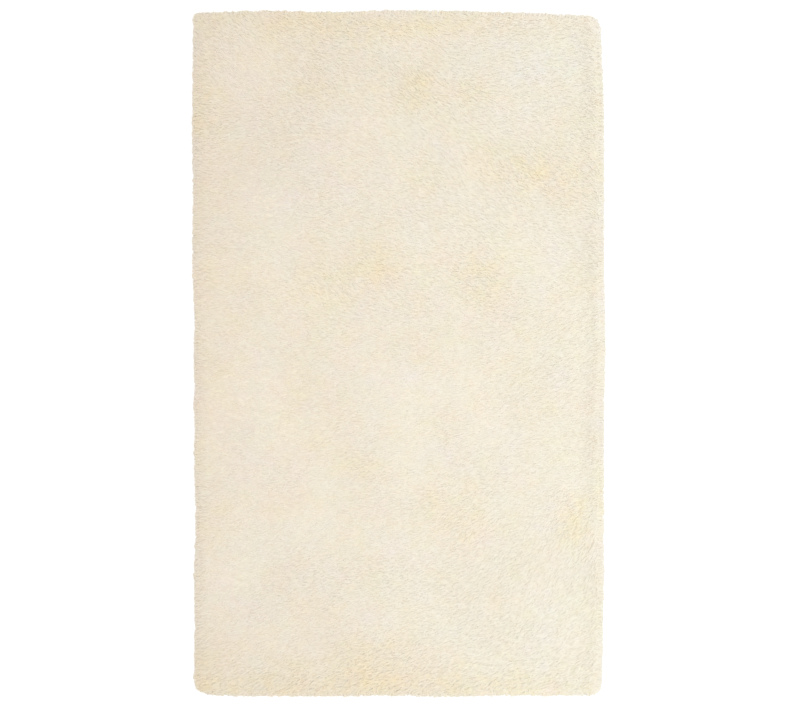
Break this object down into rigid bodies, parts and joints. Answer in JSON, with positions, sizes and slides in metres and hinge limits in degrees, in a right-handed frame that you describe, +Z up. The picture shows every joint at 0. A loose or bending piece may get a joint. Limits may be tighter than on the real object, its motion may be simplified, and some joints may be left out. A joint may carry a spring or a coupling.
{
  "type": "shag rug",
  "caption": "Flat rectangular shag rug with a deep cream pile, softly uneven edges and round corners.",
  "frame": {"origin": "under the middle of the rug, on the surface it lies on", "axes": "+X across the rug, +Y along its length, +Z up out of the pile"},
  "size_m": [0.915, 1.52, 0.0308],
  "materials": {
    "pile": "matt combed yarn pile, cream"
  },
  "bodies": {
    "root": {"rug": "pile"}
  },
  "joints": []
}
